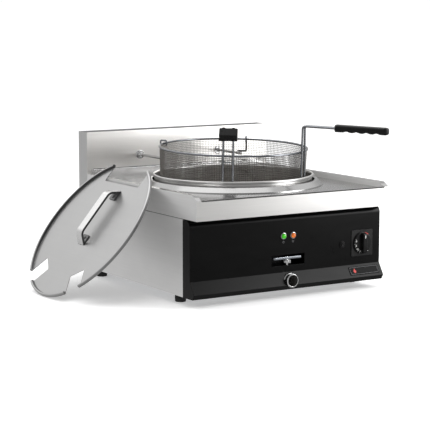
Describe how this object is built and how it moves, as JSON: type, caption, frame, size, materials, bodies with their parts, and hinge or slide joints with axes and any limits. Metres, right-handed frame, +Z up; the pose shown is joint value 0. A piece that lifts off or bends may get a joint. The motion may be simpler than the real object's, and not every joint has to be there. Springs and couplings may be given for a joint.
{
  "type": "deep fryer",
  "caption": "Countertop electric fryer with a round basin, wire basket on a rear drain bracket, front drain valve, thermostat and a notched leaning lid.",
  "frame": {"origin": "middle of the whole part's footprint (leaning lid and long handle included), on the surface that the feet stand on", "axes": "+X to the right seen from the front, along the longest extent; +Y from the front fascia to the splash; +Z up, along the shortest extent"},
  "size_m": [0.8486, 0.7423, 0.4452],
  "materials": {
    "stainless_satin": "satin brushed stainless steel",
    "stainless_inner": "satin stainless steel, slightly heat tinted",
    "galvanised": "plain sheet steel",
    "black_fascia": "satin-gloss black coating",
    "black_plate": "satin black plate",
    "black_plastic": "moulded heat-resistant plastic",
    "black_rubber": "matte black rubber",
    "chrome": "polished plating",
    "green_lens": "moulded clear green lens",
    "amber_lens": "moulded clear amber lens",
    "control_body": "moulded control housing",
    "ivory_plastic": "moulded terminal plastic",
    "copper_bulb": "drawn copper tube",
    "heater_steel": "oxidised heater sheath",
    "basket_wire": "polished wire"
  },
  "bodies": {
    "fryer": {"worktop": "stainless_satin", "basin": "stainless_inner", "basin_collar": "stainless_satin", "side_panel_left": "stainless_satin", "side_panel_right": "stainless_satin", "rear_panel": "galvanised", "base_pan": "galvanised", "splash_box": "stainless_satin", "drain_bracket": "chrome", "bracket_screws": "chrome", "rear_screws": "chrome", "fascia": "black_fascia", "lever_recess": "black_fascia", "knob_plate": "black_plate", "badge_plate": "black_plate", "reset_bezel": "black_plastic", "green_lamp_bezel": "chrome", "green_lamp_lens": "green_lens", "amber_lamp_bezel": "chrome", "amber_lamp_lens": "amber_lens", "thermostat_body": "control_body", "thermostat_bulb": "copper_bulb", "cut_out_body": "control_body", "contactor": "ivory_plastic", "terminal_block": "ivory_plastic", "cable_gland": "black_plastic", "gland_nut": "black_plastic", "element_outer": "heater_steel", "element_inner": "heater_steel", "element_nuts": "chrome", "drain_pipe": "stainless_inner", "valve_body": "chrome", "drain_spout": "chrome", "foot_front_left": "black_rubber", "foot_front_right": "black_rubber", "foot_rear_left": "black_rubber", "foot_rear_right": "black_rubber", "foot_studs": "galvanised", "foot_nuts": "galvanised"},
    "drain_valve": {"valve_ball": "chrome", "valve_stem": "chrome", "valve_nut": "chrome", "valve_lever": "chrome"},
    "knob": {"thermostat_knob": "black_plastic", "knob_spindle": "galvanised"},
    "reset": {"reset_button": "black_plastic"},
    "basket": {"basket_mesh": "basket_wire", "basket_rim": "basket_wire", "basket_base_ring": "basket_wire", "long_handle_rods": "basket_wire", "long_handle_grip": "black_plastic", "side_handle_rods": "basket_wire", "side_handle_grip": "black_plastic", "basket_hooks": "basket_wire"},
    "lid": {"lid": "stainless_satin", "lid_handle": "stainless_satin", "lid_rivets": "chrome"}
  },
  "joints": [
    {"name": "valve_turn", "type": "hinge", "parent": "fryer", "child": "drain_valve", "pos_m": [0.125, -0.25, 0.046], "axis": [0, 0, 1], "range_deg": [0, 90]},
    {"name": "knob_turn", "type": "hinge", "parent": "fryer", "child": "knob", "pos_m": [0.364, -0.262, 0.124], "axis": [0, 1, 0], "range_deg": [0, 270]},
    {"name": "reset_press", "type": "slide", "parent": "fryer", "child": "reset", "axis": [0, 1, 0], "range_m": [0, 0.0025], "stiffness_N_per_m": 600},
    {"name": "basket_lift", "type": "slide", "parent": "fryer", "child": "basket", "axis": [0, 0, 1], "range_m": [0, 0.25]},
    {"name": "lid_lift", "type": "slide", "parent": "fryer", "child": "lid", "axis": [0, 0, 1], "range_m": [0, 0.3]}
  ]
}
